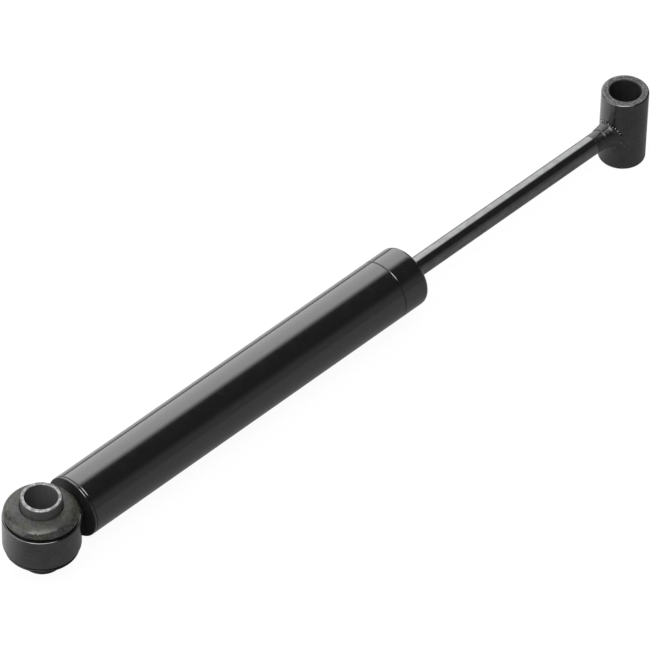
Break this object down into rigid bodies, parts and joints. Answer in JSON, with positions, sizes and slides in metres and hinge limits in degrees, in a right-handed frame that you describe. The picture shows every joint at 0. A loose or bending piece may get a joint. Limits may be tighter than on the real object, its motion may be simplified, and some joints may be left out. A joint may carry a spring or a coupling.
{
  "type": "trailer shock absorber",
  "caption": "Twin-tube hydraulic damper for a trailer coupling: rubber-bushed eye on the black tube, plain welded eye on the chromed rod.",
  "frame": {"origin": "centre of the bushed eye", "axes": "+X along the damper towards the rod eye, +Z along the bores of both eyes, +Y to the left of +X"},
  "size_m": [0.541, 0.047, 0.054],
  "materials": {
    "gloss_paint": "gloss black paint",
    "satin_paint": "satin black paint",
    "weld_paint": "satin black paint over a weld",
    "bush_rubber": "matt, slightly dusty",
    "sleeve_steel": "worn bright on its ends",
    "rod_chrome": "polished, painted black at its end",
    "tube_steel": "drawn tube, oiled",
    "turned_steel": "turned or stamped, oiled",
    "spring_steel": "blued",
    "sintered_iron": "sintered, oiled",
    "bush_bronze": "dull",
    "band_plastic": "filled PTFE",
    "seal_rubber": "smooth, oiled"
  },
  "bodies": {
    "cylinder": {"eye_ring": "satin_paint", "eye_bush": "bush_rubber", "base_cap": "gloss_paint", "eye_weld": "weld_paint", "reservoir_tube": "gloss_paint", "pressure_tube": "tube_steel", "base_valve_body": "sintered_iron", "compression_shim_1": "spring_steel", "compression_shim_2": "spring_steel", "compression_shim_3": "spring_steel", "base_valve_bolt": "turned_steel", "intake_spring": "spring_steel", "valve_retainer": "turned_steel", "base_valve_nut": "turned_steel", "end_cap": "gloss_paint", "rod_guide": "sintered_iron", "guide_bush": "bush_bronze", "rod_seal": "seal_rubber", "seal_washer": "turned_steel", "rod_wiper": "seal_rubber"},
    "eye_sleeve": {"eye_sleeve": "sleeve_steel"},
    "intake_plate": {"intake_plate": "spring_steel"},
    "piston_band": {"piston_band": "band_plastic"},
    "rod": {"piston_rod": "rod_chrome", "rod_eye": "satin_paint", "rod_eye_weld": "weld_paint", "piston": "sintered_iron", "check_spring": "spring_steel", "backing_washer": "turned_steel", "rebound_shim_1": "spring_steel", "rebound_shim_2": "spring_steel", "rebound_shim_3": "spring_steel", "spacer_washer": "turned_steel", "piston_nut": "turned_steel", "rebound_stop": "turned_steel", "rebound_buffer": "seal_rubber"},
    "check_plate": {"check_plate": "spring_steel"}
  },
  "joints": [
    {"name": "rod_slide", "type": "slide", "parent": "cylinder", "child": "piston_band", "axis": [1, 0, 0], "range_m": [-0.17, 0]},
    {"name": "rod_spin", "type": "hinge", "parent": "piston_band", "child": "rod", "pos_m": [0.24, 0, 0], "axis": [1, 0, 0], "continuous": true},
    {"name": "eye_sleeve_twist", "type": "hinge", "parent": "cylinder", "child": "eye_sleeve", "pos_m": [0, 0, 0], "axis": [0, 0, 1], "range_deg": [-15, 15], "stiffness_Nm_per_rad": 2},
    {"name": "intake_lift", "type": "slide", "parent": "cylinder", "child": "intake_plate", "axis": [1, 0, 0], "range_m": [0, 0.0009], "stiffness_N_per_m": 500, "springref_m": -0.002, "deforming": ["intake_spring"]},
    {"name": "check_lift", "type": "slide", "parent": "rod", "child": "check_plate", "axis": [1, 0, 0], "range_m": [0, 0.0009], "stiffness_N_per_m": 500, "springref_m": -0.002, "deforming": ["check_spring"]}
  ]
}
